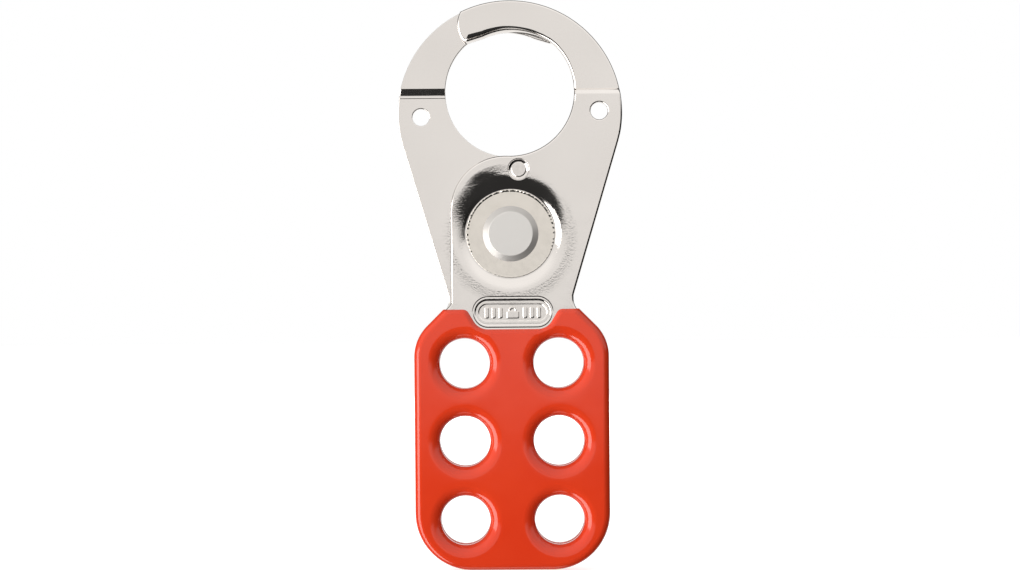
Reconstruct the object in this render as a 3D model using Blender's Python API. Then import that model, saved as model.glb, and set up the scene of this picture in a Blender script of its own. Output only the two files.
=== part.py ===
"""Lockout hasp with a 1 inch jaw ring: two pressed steel plates that open like scissors on one rivet.

Both halves are the same pressing and the same dip-coated handle. The rear half is the front half turned
half a turn about the long Z axis, so all shapes below are drawn once, for the front half: X to the right,
Z up, and its outer face towards -Y. The frame's origin is the centre of the jaw opening.
"""

import math

import bmesh
import bpy
from mathutils import Matrix, Vector, geometry

# Driving dimensions, in millimetres.
MM = 0.001
OPENING_R = 12.65  # the 1 inch opening that the jaws close round
RING_CENTRE = (0.0, -4.15)
RING_R = 22.0
TAPER = 16.65  # degrees between the Z axis and the side edge below the ring
PIVOT_Z = -27.9
NECK_R = 10.75  # the rounded top of the neck, which meets the opening's lowest edge
NECK_CENTRE_X = -1.0
WAIST = (11.76, -41.6)  # where the side edges would meet the handle's shoulders
WAIST_FILLET = 3.5
NECK_FILLET = 1.5

# The jaw's tip: a bowed end, a small rounded nose, and an inner edge flatter than the opening.
TIP_END_CENTRE = (-5.2, 13.2)
TIP_END_R = 4.95
TIP_NOSE_R = 0.95
TIP_ANGLES = (152, 222, 285)  # where the bowed end starts, turns into the nose, and where the nose ends
JAW_INNER_CENTRE = (0.755, -2.05)
JAW_INNER_R = 13.8
JAW_INNER_ANGLES = (114.7, 57.4)
RING_END_ANGLE = 115.9
OPENING_START_ANGLE = 46

# Handle of the bare plate, and of the coating round it.
PLATE_HALF_WIDTH = 18.2
PLATE_BOTTOM = -92.75
PLATE_CORNER_R = 10.35
PLATE_SHOULDER_R = 8.0
SHOULDER_SLOPE = 45.0  # degrees
COATING_HALF_WIDTH = 19.05
COATING_BOTTOM = -93.6
COATING_CORNER_R = 11.2
COATING_SHOULDER_R = 8.6
COATING_TOP = -42.6
COATING_TOP_HALF_WIDTH = 13.3
COATING_CHAMFER = 0.7

# Section through the front half, as distances from the hasp's middle plane.
HALF_GAP = 0.15
INNER_COATING = 0.85
PLATE_THICKNESS = 2.5
OUTER_COATING = 0.9
PLATE_INNER = HALF_GAP + INNER_COATING
PLATE_OUTER = PLATE_INNER + PLATE_THICKNESS
COATING_OUTER = PLATE_OUTER + OUTER_COATING
COATING_CLEARANCE = 0.15

# Pressed forms: the jaw and the seat of the rivet both step in to the middle plane.
STEP = INNER_COATING
JOGGLE_BOTTOM = -1.1
JOGGLE_TOP = 0.3
DISH_FLOOR_R = 9.3
DISH_RIM_R = 11.4

# Holes.
SHACKLE_X = 9.2
SHACKLE_Z = (-53.1, -68.3, -83.6)
SHACKLE_R = 5.0  # clear opening inside the coating
SHACKLE_PLATE_R = 6.0
SIDE_HOLE_R = 1.67
SIDE_HOLE_X = 17.5
SIDE_HOLE_Z = {"front": -4.0, "rear": -4.75}

# Rivet and washers.
RIVET_R = 3.0
RIVET_BORE_R = 3.05
RIVET_HEAD_R = 5.5
RIVET_TOP_R = 4.27
RIVET_HEAD_HEIGHT = 0.8
WASHER_R = 8.7
WASHER_THICKNESS = 1.2
WASHER_CHAMFER = 0.25
AXIAL_GAP = 0.05

# Stop pins: the two touch side by side in the gap between the plates when the jaws are shut.
PIN_CENTRE = (1.37, -15.2)
PIN_SEAT_R = 2.05
PIN_BODY_R = 1.95
PIN_HEAD_R = 1.62
PIN_TIP_R = 1.32
PIN_FACE = 3.45
PIN_SHOULDER = 3.0
PIN_REACH = 0.7  # how far each pin passes the middle plane

# Stamped badge on the neck, left blank, and the window in the coating round it.
BADGE_Z = -43.0
BADGE_LENGTH = 13.6
BADGE_HEIGHT = 3.9
BADGE_DEPTH = 0.3
WINDOW_TOP_HALF = 9.0
WINDOW_BOTTOM_HALF = 5.9
WINDOW_BOTTOM = -46.6
WINDOW_CORNER_R = 1.8

ARC_STEP = 11.0  # degrees between two points of a wide arc
HOLE_SIDES = 28
TURNED_SIDES = 32

MATERIALS = {
    # name: (base colour, roughness, metallic)
    "nickel": ((0.72, 0.69, 0.65), 0.12, 1.0),
    "washer_nickel": ((0.66, 0.63, 0.59), 0.25, 1.0),
    "rivet_steel": ((0.60, 0.58, 0.56), 0.42, 1.0),
    "red_vinyl": ((0.74, 0.05, 0.03), 0.28, 0.0),
}


# Outlines: lists of (x, z) points, with the material on the left as the list runs on.


def arc(centre, radius, start, end):
    """Points from one angle to the other, in degrees from +X towards +Z."""
    count = max(2, math.ceil(abs(end - start) / ARC_STEP))
    angles = [math.radians(start + (end - start) * i / count) for i in range(count + 1)]
    return [(centre[0] + radius * math.cos(a), centre[1] + radius * math.sin(a)) for a in angles]


def circle(centre, radius, sides=HOLE_SIDES):
    """A hole's edge, which runs clockwise so that the material is on its left."""
    angles = [-2 * math.pi * i / sides for i in range(sides)]
    return [(centre[0] + radius * math.cos(a), centre[1] + radius * math.sin(a)) for a in angles]


def fillet(corner, arriving, leaving, radius):
    """The arc that rounds a corner between two directions, which are angles in degrees."""
    turn = (leaving - arriving + 180) % 360 - 180
    side = math.copysign(90, turn)
    back = radius * math.tan(math.radians(abs(turn) / 2))
    start_x = corner[0] - back * math.cos(math.radians(arriving))
    start_z = corner[1] - back * math.sin(math.radians(arriving))
    towards = math.radians(arriving + side)
    centre = (start_x + radius * math.cos(towards), start_z + radius * math.sin(towards))
    first = arriving - side
    return arc(centre, radius, first, first + turn)


def mirrored(points):
    """The same points on the other side of the Z axis, in the order that keeps the material on the left."""
    return [(-x, z) for x, z in reversed(points)]


def shoulder(half_width, through, radius):
    """The arc from the handle's side to its 45 degree shoulder line, which passes through a given point."""
    reach = radius * math.sqrt(2)
    centre_x = half_width - radius
    centre_z = through[0] + through[1] - centre_x - reach
    return arc((centre_x, centre_z), radius, 0, SHOULDER_SLOPE)


def handle_bottom(half_width, bottom, radius):
    centre_x, centre_z = half_width - radius, bottom + radius
    return arc((-centre_x, centre_z), radius, 180, 270) + arc((centre_x, centre_z), radius, 270, 360)


def jaw_tip():
    """The end of the jaw, from the ring's outer edge round a blunt nose to the start of the opening."""
    end_start, turn, nose_stop = TIP_ANGLES
    apart = TIP_END_R - TIP_NOSE_R
    nose_centre = (
        TIP_END_CENTRE[0] + apart * math.cos(math.radians(turn)),
        TIP_END_CENTRE[1] + apart * math.sin(math.radians(turn)),
    )
    nose = arc(nose_centre, TIP_NOSE_R, turn, nose_stop)
    return arc(TIP_END_CENTRE, TIP_END_R, end_start, turn) + nose[1:]


def jaw_opening():
    """The jaw's inner edge: a slightly flatter arc under the tip, then the round opening."""
    under_tip = arc(JAW_INNER_CENTRE, JAW_INNER_R, *JAW_INNER_ANGLES)
    neck_x, neck_z = neck_centre()
    touching = math.degrees(math.atan2(neck_z, neck_x))
    return under_tip + arc((0, 0), OPENING_R, OPENING_START_ANGLE, touching)


def neck_centre():
    """The centre of the neck's round top, which touches the opening's circle from outside."""
    apart = OPENING_R + NECK_R
    return (NECK_CENTRE_X, -math.sqrt(apart**2 - NECK_CENTRE_X**2))


def plate_outline():
    """The front plate's blank, anticlockwise from the bottom left of its handle."""
    centre = neck_centre()
    neck_start = math.degrees(math.atan2(-centre[1], -centre[0]))
    neck_corner = (NECK_CENTRE_X - NECK_R, WAIST[1])
    right_shoulder = shoulder(PLATE_HALF_WIDTH, WAIST, PLATE_SHOULDER_R)
    return (
        handle_bottom(PLATE_HALF_WIDTH, PLATE_BOTTOM, PLATE_CORNER_R)
        + right_shoulder
        + fillet(WAIST, 90 + SHOULDER_SLOPE, 90 - TAPER, WAIST_FILLET)
        + arc(RING_CENTRE, RING_R, -TAPER, RING_END_ANGLE)
        + jaw_tip()
        + jaw_opening()
        + arc(centre, NECK_R, neck_start, 180)[1:]
        + fillet(neck_corner, 270, 270 - SHOULDER_SLOPE, NECK_FILLET)
        + mirrored(right_shoulder)
    )


def coating_outline():
    corner = (COATING_TOP_HALF_WIDTH, COATING_TOP)
    right_shoulder = shoulder(COATING_HALF_WIDTH, corner, COATING_SHOULDER_R)
    top = [corner, (-corner[0], corner[1])]
    bottom = handle_bottom(COATING_HALF_WIDTH, COATING_BOTTOM, COATING_CORNER_R)
    return bottom + right_shoulder + top + mirrored(right_shoulder)


def pocket_outline():
    """The plate's handle, run on above the coating's top edge so that it cuts the mouth of the pocket."""
    right_shoulder = shoulder(PLATE_HALF_WIDTH, WAIST, PLATE_SHOULDER_R)
    top = [WAIST, (-WAIST[0], WAIST[1])]
    bottom = handle_bottom(PLATE_HALF_WIDTH, PLATE_BOTTOM, PLATE_CORNER_R)
    return bottom + right_shoulder + top + mirrored(right_shoulder)


def window_outline():
    """The notch in the coating's outer layer, which leaves the badge bare."""
    slope = math.degrees(
        math.atan2(COATING_TOP - WINDOW_BOTTOM, WINDOW_TOP_HALF - WINDOW_BOTTOM_HALF)
    )
    above = 2.0
    top_half = WINDOW_TOP_HALF + above / math.tan(math.radians(slope))
    corner = (WINDOW_BOTTOM_HALF, WINDOW_BOTTOM)
    right = fillet(corner, 0, slope, WINDOW_CORNER_R) + [(top_half, COATING_TOP + above)]
    return right + mirrored(right)


def badge_outline():
    end_r = BADGE_HEIGHT / 2
    end_x = BADGE_LENGTH / 2 - end_r
    right = arc((end_x, BADGE_Z), end_r, -90, 90)
    return right + mirrored(right)


def shackle_holes(radius):
    return [circle((x, z), radius) for z in SHACKLE_Z for x in (-SHACKLE_X, SHACKLE_X)]


def inset(loop, distance):
    """The loop moved into its material, to the left, with mitred corners."""
    moved = []
    for before, point, after in zip(loop[-1:] + loop[:-1], loop, loop[1:] + loop[:1]):
        arriving = (Vector(point) - Vector(before)).normalized()
        leaving = (Vector(after) - Vector(point)).normalized()
        first, second = arriving.orthogonal(), leaving.orthogonal()
        way = (first + second) / (1 + first.dot(second))
        moved.append(tuple(Vector(point) + way * distance))
    return moved


# Meshes.


def covers(loop, point):
    """Whether the loop goes round the point."""
    x, z = point
    crossings = 0
    for (x0, z0), (x1, z1) in zip(loop, loop[1:] + loop[:1]):
        if (z0 > z) != (z1 > z) and x < x0 + (z - z0) * (x1 - x0) / (z1 - z0):
            crossings += 1
    return crossings % 2 == 1


def fill(outline, holes, guides=()):
    """(points, triangles) over the outline with its holes open. A guide is a line that stays an edge."""
    points, edges = [], []
    for line, shut in [(loop, True) for loop in (outline, *holes)] + [(guide, False) for guide in guides]:
        first = len(points)
        points += [Vector(point) for point in line]
        edges += [(first + i, first + i + 1) for i in range(len(line) - 1)]
        if shut:
            edges.append((len(points) - 1, first))
    nearest = 1e-5
    points, _, triangles, *_ = geometry.delaunay_2d_cdt(points, edges, [], 0, nearest)
    kept = []
    for triangle in triangles:
        middle = sum((points[i] for i in triangle), Vector((0, 0))) / 3
        if covers(outline, middle) and not any(covers(hole, middle) for hole in holes):
            kept.append(tuple(triangle))
    return [tuple(point) for point in points], kept


def finished(name, work):
    """The mesh of a bmesh in millimetres, in metres and with its faces pointing out."""
    bmesh.ops.scale(work, vec=(MM, MM, MM), verts=work.verts[:])
    bmesh.ops.recalc_face_normals(work, faces=work.faces[:])
    mesh = bpy.data.meshes.new(name)
    work.to_mesh(mesh)
    work.free()
    return mesh


def body(name, vertices, faces):
    """A closed mesh from its vertices, in millimetres, and faces."""
    work = bmesh.new()
    corners = [work.verts.new(vertex) for vertex in vertices]
    for face in faces:
        work.faces.new([corners[i] for i in face])
    loose = [vertex for vertex in corners if not vertex.link_faces]
    bmesh.ops.delete(work, geom=loose, context="VERTS")
    return finished(name, work)


def pressed(x, z):
    """How far the press tool has pushed the sheet in at this point."""
    jaw = (z - JOGGLE_BOTTOM) / (JOGGLE_TOP - JOGGLE_BOTTOM)
    dish = (DISH_RIM_R - math.hypot(x, z - PIVOT_Z)) / (DISH_RIM_R - DISH_FLOOR_R)
    return STEP * min(1, max(0, jaw, dish))


def pressed_sheet(name, outline, holes, guides, outer, inner):
    """Sheet between two distances from the middle plane, pushed in where it is pressed."""
    points, triangles = fill(outline, holes, guides)
    count = len(points)
    vertices = [(x, pressed(x, z) - outer, z) for x, z in points]
    vertices += [(x, pressed(x, z) - inner, z) for x, z in points]
    faces = triangles + [tuple(count + i for i in reversed(triangle)) for triangle in triangles]
    sides = {(t[i], t[(i + 1) % 3]) for t in triangles for i in range(3)}
    rim = sorted((a, b) for a, b in sides if (b, a) not in sides)
    faces += [(b, a, count + a, count + b) for a, b in rim]
    return body(name, vertices, faces)


def slab(name, outline, holes, rows):
    """A flat body from rows of (inset, y): the first and last are its faces, the others its edge."""
    loops = [outline, *holes]
    vertices, faces = [], []
    starts = []
    for distance, y in rows:
        starts.append(len(vertices))
        for loop in loops:
            vertices += [(x, y, z) for x, z in inset(loop, distance)]
    for near, far in zip(starts, starts[1:]):
        first = 0
        for loop in loops:
            for i in range(len(loop)):
                a, b = first + i, first + (i + 1) % len(loop)
                faces.append((near + a, near + b, far + b, far + a))
            first += len(loop)
    for start, (distance, _) in ((starts[0], rows[0]), (starts[-1], rows[-1])):
        edges = [inset(loop, distance) for loop in loops]
        _, triangles = fill(edges[0], edges[1:])
        faces += [tuple(start + i for i in triangle) for triangle in triangles]
    return body(name, vertices, faces)


def turned(name, profile, centre):
    """A body turned about a line along Y: the profile is a closed list of (radius, y) points."""
    work = bmesh.new()
    corners = [work.verts.new((radius, y, 0)) for radius, y in profile]
    for first, second in zip(corners, corners[1:]):
        work.edges.new((first, second))
    if min(radius for radius, _ in profile) > 0:
        work.edges.new((corners[-1], corners[0]))
    bmesh.ops.spin(
        work,
        geom=work.verts[:] + work.edges[:],
        cent=(0, 0, 0),
        axis=(0, 1, 0),
        angle=2 * math.pi,
        steps=TURNED_SIDES,
    )
    weld = 1e-4
    bmesh.ops.remove_doubles(work, verts=work.verts[:], dist=weld)
    bmesh.ops.translate(work, verts=work.verts[:], vec=(centre[0], 0, centre[1]))
    return finished(name, work)


# Objects.


def clear_scene():
    for obj in list(bpy.data.objects):
        bpy.data.objects.remove(obj, do_unlink=True)


def make_materials():
    made = {}
    for name, (colour, roughness, metallic) in MATERIALS.items():
        material = bpy.data.materials.new(name)
        material.use_nodes = True
        shader = material.node_tree.nodes["Principled BSDF"]
        shader.inputs["Base Color"].default_value = (*colour, 1)
        shader.inputs["Roughness"].default_value = roughness
        shader.inputs["Metallic"].default_value = metallic
        material.diffuse_color = (*colour, 1)
        made[name] = material
    return made


def place(name, mesh, half, material=None):
    """An object whose parent empty is on the pivot, and whose own origin is the frame's."""
    obj = bpy.data.objects.new(name, mesh)
    bpy.context.scene.collection.objects.link(obj)
    obj.parent = half
    obj.matrix_parent_inverse = Matrix.Translation((0, 0, -PIVOT_Z * MM))
    if material:
        mesh.materials.append(material)
    return obj


def shade_round(obj):
    smooth_below = math.radians(30)
    obj.data.shade_smooth()
    obj.data.set_sharp_from_angle(angle=smooth_below)


def cut(obj, cutter):
    cutter.hide_render = True
    cutter.display_type = "WIRE"
    modifier = obj.modifiers.new(cutter.name, "BOOLEAN")
    modifier.operation = "DIFFERENCE"
    modifier.solver = "EXACT"
    modifier.object = cutter


def make_half_empty(name, turn):
    half = bpy.data.objects.new(name, None)
    bpy.context.scene.collection.objects.link(half)
    half.location = (0, 0, PIVOT_Z * MM)
    half.rotation_euler = (0, 0, turn)
    return half


def make_plate(side, half, materials):
    holes = [circle((0, PIVOT_Z), RIVET_BORE_R, TURNED_SIDES)]
    holes.append(circle(PIN_CENTRE, PIN_SEAT_R))
    holes.append(circle((SIDE_HOLE_X, SIDE_HOLE_Z[side]), SIDE_HOLE_R, sides=20))
    holes += shackle_holes(SHACKLE_PLATE_R)
    guides = [[(x, z) for x in (0, RING_R + 1)] for z in (JOGGLE_BOTTOM, JOGGLE_TOP)]
    for radius in (DISH_FLOOR_R, DISH_RIM_R):
        ring = circle((0, PIVOT_Z), radius, sides=48)
        guides.append(ring + ring[:1])
    name = f"{side}_plate"
    mesh = pressed_sheet(name, plate_outline(), holes, guides, PLATE_OUTER, PLATE_INNER)
    plate = place(name, mesh, half, materials["nickel"])
    above = 0.5
    rows = [(0, -PLATE_OUTER - above), (0, -PLATE_OUTER + BADGE_DEPTH)]
    badge = slab(f"{side}_badge_cutter", badge_outline(), [], rows)
    cut(plate, place(badge.name, badge, half))
    return plate


def make_coating(side, half, materials):
    """The dip coating: a skin all round the handle and through its holes, open at the top."""
    name = f"{side}_coating"
    rows = [
        (COATING_CHAMFER, -COATING_OUTER),
        (0, -COATING_OUTER + COATING_CHAMFER),
        (0, -HALF_GAP - COATING_CHAMFER / 2),
        (COATING_CHAMFER / 2, -HALF_GAP),
    ]
    skin = slab(name, coating_outline(), shackle_holes(SHACKLE_R), rows)
    coating = place(name, skin, half, materials["red_vinyl"])
    outer = PLATE_OUTER + COATING_CLEARANCE
    inner = PLATE_INNER - COATING_CLEARANCE
    rows = [(-COATING_CLEARANCE, -outer), (-COATING_CLEARANCE, -inner)]
    pocket = slab(f"{side}_pocket_cutter", pocket_outline(), shackle_holes(SHACKLE_PLATE_R), rows)
    cut(coating, place(pocket.name, pocket, half))
    rows = [(0, -COATING_OUTER - 1), (0, -PLATE_OUTER)]
    window = slab(f"{side}_window_cutter", window_outline(), [], rows)
    cut(coating, place(window.name, window, half))
    return coating


def make_washer(side, half, materials):
    under = PLATE_OUTER - STEP + AXIAL_GAP
    top = under + WASHER_THICKNESS
    edge = WASHER_CHAMFER
    profile = [
        (RIVET_BORE_R, -top),
        (WASHER_R - edge, -top),
        (WASHER_R, -top + edge),
        (WASHER_R, -under),
        (RIVET_BORE_R, -under),
    ]
    name = f"{side}_washer"
    washer = place(name, turned(name, profile, (0, PIVOT_Z)), half, materials["washer_nickel"])
    shade_round(washer)


def make_stop_pin(side, half, materials):
    """A pin pressed into the plate, with a bevelled head in a round seat and a tip in the gap."""
    bevel = 0.27
    profile = [
        (0, -PIN_FACE),
        (PIN_HEAD_R - bevel, -PIN_FACE),
        (PIN_HEAD_R, -PIN_FACE + bevel),
        (PIN_HEAD_R, -PIN_SHOULDER),
        (PIN_BODY_R, -PIN_SHOULDER),
        (PIN_BODY_R, -PLATE_INNER),
        (PIN_TIP_R, -PLATE_INNER),
        (PIN_TIP_R, PIN_REACH),
        (0, PIN_REACH),
    ]
    name = f"{side}_stop_pin"
    pin = place(name, turned(name, profile, PIN_CENTRE), half, materials["nickel"])
    shade_round(pin)


def make_rivet(half, materials):
    """The rivet that both plates turn on: a round shank with a bevelled head at each end."""
    seat = PLATE_OUTER - STEP + AXIAL_GAP + WASHER_THICKNESS + AXIAL_GAP
    top = seat + RIVET_HEAD_HEIGHT
    front = [(0, -top), (RIVET_TOP_R, -top), (RIVET_HEAD_R, -seat), (RIVET_R, -seat)]
    profile = front + [(radius, -y) for radius, y in reversed(front)]
    rivet = place("pivot_rivet", turned("pivot_rivet", profile, (0, PIVOT_Z)), half, materials["rivet_steel"])
    shade_round(rivet)


def main():
    clear_scene()
    materials = make_materials()
    for side, turn in (("front", 0), ("rear", math.pi)):
        half = make_half_empty(f"{side}_half", turn)
        make_plate(side, half, materials)
        make_coating(side, half, materials)
        make_washer(side, half, materials)
        make_stop_pin(side, half, materials)
        if side == "rear":
            make_rivet(half, materials)


main()
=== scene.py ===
"""Looks of a lockout hasp: two plated pressings on one rivet, with dip-coated handles.

Shapes are drawn for the front half, in millimetres: X to the right, Z up, outer face towards -Y. The rear
half is the same, turned half a turn about Z. Every smooth piece carries its own exact normals, because its
plating is a mirror. The order is outlines, profiles, meshes, materials, pieces, stage, camera.
"""

import math

import bpy
import numpy as np
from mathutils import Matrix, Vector, geometry


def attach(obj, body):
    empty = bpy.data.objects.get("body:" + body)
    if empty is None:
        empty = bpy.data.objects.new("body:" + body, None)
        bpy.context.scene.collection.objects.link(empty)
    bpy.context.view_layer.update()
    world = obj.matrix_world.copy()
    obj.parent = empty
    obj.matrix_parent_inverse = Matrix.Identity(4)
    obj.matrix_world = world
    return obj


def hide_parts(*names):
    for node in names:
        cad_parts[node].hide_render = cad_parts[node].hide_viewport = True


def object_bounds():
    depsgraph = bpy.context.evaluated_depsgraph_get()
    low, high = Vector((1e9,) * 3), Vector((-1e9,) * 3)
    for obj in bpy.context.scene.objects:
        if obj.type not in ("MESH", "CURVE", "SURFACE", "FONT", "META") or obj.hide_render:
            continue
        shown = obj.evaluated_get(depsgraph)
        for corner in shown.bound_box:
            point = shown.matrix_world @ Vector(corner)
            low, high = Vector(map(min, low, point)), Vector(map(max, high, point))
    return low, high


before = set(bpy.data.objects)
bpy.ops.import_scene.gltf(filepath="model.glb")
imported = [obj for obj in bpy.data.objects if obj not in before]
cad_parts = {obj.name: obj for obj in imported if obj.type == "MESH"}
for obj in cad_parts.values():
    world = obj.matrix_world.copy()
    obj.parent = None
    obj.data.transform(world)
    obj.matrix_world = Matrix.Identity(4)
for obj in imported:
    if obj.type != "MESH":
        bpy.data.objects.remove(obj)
cad_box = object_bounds()

MM = 0.001

# Dimensions of the CAD part.
OPENING_R = 12.65
RING_CENTRE = (0.0, -4.15)
RING_R = 22.0
TAPER = 16.65
PIVOT_Z = -27.9
NECK_R = 10.75
NECK_CENTRE_X = -1.0
WAIST = (11.76, -41.6)
WAIST_FILLET = 3.5
NECK_FILLET = 1.5
TIP_END_CENTRE = (-5.2, 13.2)
TIP_END_R = 4.95
TIP_NOSE_R = 0.95
TIP_ANGLES = (152, 222, 285)
JAW_INNER_CENTRE = (0.755, -2.05)
JAW_INNER_R = 13.8
JAW_INNER_ANGLES = (114.7, 57.4)
RING_END_ANGLE = 115.9
OPENING_START_ANGLE = 46
PLATE_HALF_WIDTH = 18.2
PLATE_BOTTOM = -92.75
PLATE_CORNER_R = 10.35
PLATE_SHOULDER_R = 8.0
COATING_HALF_WIDTH = 19.05
COATING_BOTTOM = -93.6
COATING_CORNER_R = 11.2
COATING_SHOULDER_R = 8.6
COATING_TOP = -42.6
COATING_TOP_HALF_WIDTH = 13.3
HALF_GAP = 0.15
PLATE_INNER = 1.0
PLATE_OUTER = 3.5
COATING_OUTER = 4.4
STEP = 0.85
SHACKLE_X = 9.2
SHACKLE_Z = (-53.1, -68.3, -83.6)
SHACKLE_PLATE_R = 6.0
SIDE_HOLE_R = 1.67
SIDE_HOLE_X = 17.5
SIDE_HOLE_Z = {"front": -4.0, "rear": -4.75}
RIVET_R = 3.0
RIVET_BORE_R = 3.05
RIVET_HEAD_R = 5.5
RIVET_TOP_R = 4.27
RIVET_HEAD_HEIGHT = 0.8
WASHER_R = 8.7
WASHER_THICKNESS = 1.2
AXIAL_GAP = 0.05
PIN_SEAT_R = 2.05
PIN_BODY_R = 1.95
PIN_HEAD_R = 1.62
PIN_TIP_R = 1.32
PIN_FACE = 3.45
PIN_SHOULDER = 3.0
PIN_REACH = 0.7

# Dimensions of the looks alone. Most of those that the CAD part has too differ from its values.
PIN_CENTRE = (1.65, -15.3)
COATING_HOLES = ((-53.2, 4.9), (-68.45, 4.93), (-83.9, 4.82))  # (z, radius) of each pair
JOGGLE = (-0.9, 0.48)  # where the jaw's step starts and ends on the outer face
JOGGLE_BACK = (-0.4, 0.75)  # and on the inner face
JOGGLE_POWER = 2.4
JOGGLE_CREASE_Z = -0.95
DISH_FLOOR_R = 8.9
DISH_RIM_R = 11.5  # before the swells
# (middle, spread, more): degrees round the pivot, and millimetres on the rim's radius
DISH_SWELLS = ((118, 18, 1.6), (152, 32, 1.7), (50, 25, 0.7), (-3, 25, -0.2))
DRAWN_MIDDLE, DRAWN_SPREAD = 110, 22  # degrees round the pivot, where the neck's sheet is drawn in
DRAWN_START_R, DRAWN_WIDTH, DRAWN_SLOPE = 13.7, 1.6, 0.06
BADGE_CENTRE = (0.3, -43.25)
BADGE_LINE = (15.6, 6.0)  # the faint outer groove's length and height
BADGE_BORDER = (14.6, 4.8)
BADGE_FIELD = (13.3, 3.3)
BADGE_BARS = (-5.1, -3.75, -2.4, 2.4, 3.75, 5.1)
BADGE_LINE_DEPTH, BADGE_BORDER_DEPTH = 0.035, 0.05  # of the two grooves
BADGE_STEPS = (0.12, 0.16)  # from the plate down to the border's floor, and from there to the field
EMBLEM_HEIGHT = 0.14
BURR_START, BURR_WIDTH = 0.5, 0.35  # in from the washer's rim, and from there to its full size
BURR_PUSH, BURR_WEAR, BURR_LIFT = 0.09, 0.08, 0.075
BURR_ROWS = (0.16, 0.22, 0.29, 0.36, 0.43, 0.49, 0.51)  # rings of the mesh, in from the rim
WINDOW_TOP_HALF = 9.0
WINDOW_BOTTOM_HALF = 6.7
WINDOW_BOTTOM = -46.5
WINDOW_TOP_R = 1.3
WINDOW_CORNER_R = 3.2

# Rounded edges: (width, depth) of each roll, and of the faint slope, or tail, round some of them.
PLATE_ROLL, PLATE_BACK_ROLL = (0.45, 0.55), (0.16, 0.13)
PIN_SEAT_ROLL, PIN_SEAT_BACK_ROLL = (0.14, 0.2), (0.06, 0.06)
SIDE_HOLE_ROLL, SIDE_HOLE_BACK_ROLL = (0.3, 0.4), (0.2, 0.16)
COATING_ROLL, COATING_TAIL, COATING_BACK_ROLL = (1.4, 1.5), (3.0, 0.05), (0.4, 0.4)
SHACKLE_ROLL, SHACKLE_TAIL, SHACKLE_BACK_ROLL = (2.4, 2.1), (3.6, 0.08), (0.3, 1.4)
WINDOW_ROLL = (1.1, 0.95)
NOSE_MORE_WIDTH = 1.3  # on PLATE_ROLL, along the jaw's inside
NOSE_MORE_DEPTH = {"front": 1.9, "rear": 0.3}

ARC_ERROR = 0.003  # how far a chord may be from its arc
POCKET_ROOM = 0.03  # between a plate and its coating, all round

# The stage, in metres and radians.
HASP_MIDDLE = (0, 0, -0.038)
CAMERA_X, CAMERA_Z, CAMERA_ROLL = -0.0002, -0.0379, 0.0081
CAMERA_AWAY, FRAME_WIDTH = 0.5, 0.1992
FLOOR_HALF, FLOOR_GAP = 2.0, 0.0006
FLOOR_GLOW = 0.55
SOFTBOX_STRENGTH, GROUND_STRENGTH = 5.0, 1.3  # in the world, where the light wall's is about 1


# Outlines: arrays of (x, z), with the material on the left as the line runs on.


def arc(centre, radius, start, end):
    """Points along an arc, close enough together to stay within ARC_ERROR of it."""
    step = math.degrees(2 * math.acos(1 - ARC_ERROR / radius))
    count = max(4, math.ceil(abs(end - start) / step))
    angles = np.radians(np.linspace(start, end, count + 1))
    return np.column_stack([centre[0] + radius * np.cos(angles), centre[1] + radius * np.sin(angles)])


def circle(centre, radius):
    sides = max(24, math.ceil(180 / math.degrees(math.acos(1 - ARC_ERROR / radius))))
    angles = -np.linspace(0, 2 * np.pi, sides, endpoint=False)
    return np.column_stack([centre[0] + radius * np.cos(angles), centre[1] + radius * np.sin(angles)])


def fillet(corner, arriving, leaving, radius):
    turn = (leaving - arriving + 180) % 360 - 180
    side = math.copysign(90, turn)
    back = radius * math.tan(math.radians(abs(turn) / 2))
    start_x = corner[0] - back * math.cos(math.radians(arriving))
    start_z = corner[1] - back * math.sin(math.radians(arriving))
    towards = math.radians(arriving + side)
    centre = (start_x + radius * math.cos(towards), start_z + radius * math.sin(towards))
    return arc(centre, radius, arriving - side, arriving - side + turn)


def mirrored(points):
    return points[::-1] * (-1, 1)


def chain(parts, closed=True, longest=0.9):
    """One line through all the parts, with no repeated point and no long segment."""
    points = np.concatenate([np.atleast_2d(part) for part in parts])
    ends = np.roll(points, -1, 0) if closed else points[1:]
    made = []
    for start, end in zip(points, ends):
        length = np.hypot(*(end - start))
        if length < 1e-4:
            continue
        count = max(1, math.ceil(length / longest))
        made += [start + (end - start) * i / count for i in range(count)]
    if not closed:
        made.append(points[-1])
    return np.array(made)


def shoulder(half_width, through, radius):
    centre_x = half_width - radius
    centre_z = through[0] + through[1] - centre_x - radius * math.sqrt(2)
    return arc((centre_x, centre_z), radius, 0, 45)


def handle_bottom(half_width, bottom, radius):
    x, z = half_width - radius, bottom + radius
    return np.concatenate([arc((-x, z), radius, 180, 270), arc((x, z), radius, 270, 360)])


def jaw_tip():
    end_start, turn, nose_stop = TIP_ANGLES
    apart = TIP_END_R - TIP_NOSE_R
    turned_by = math.radians(turn)
    nose_x = TIP_END_CENTRE[0] + apart * math.cos(turned_by)
    nose_z = TIP_END_CENTRE[1] + apart * math.sin(turned_by)
    nose = arc((nose_x, nose_z), TIP_NOSE_R, turn, nose_stop)
    return np.concatenate([arc(TIP_END_CENTRE, TIP_END_R, end_start, turn), nose[1:]])


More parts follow.
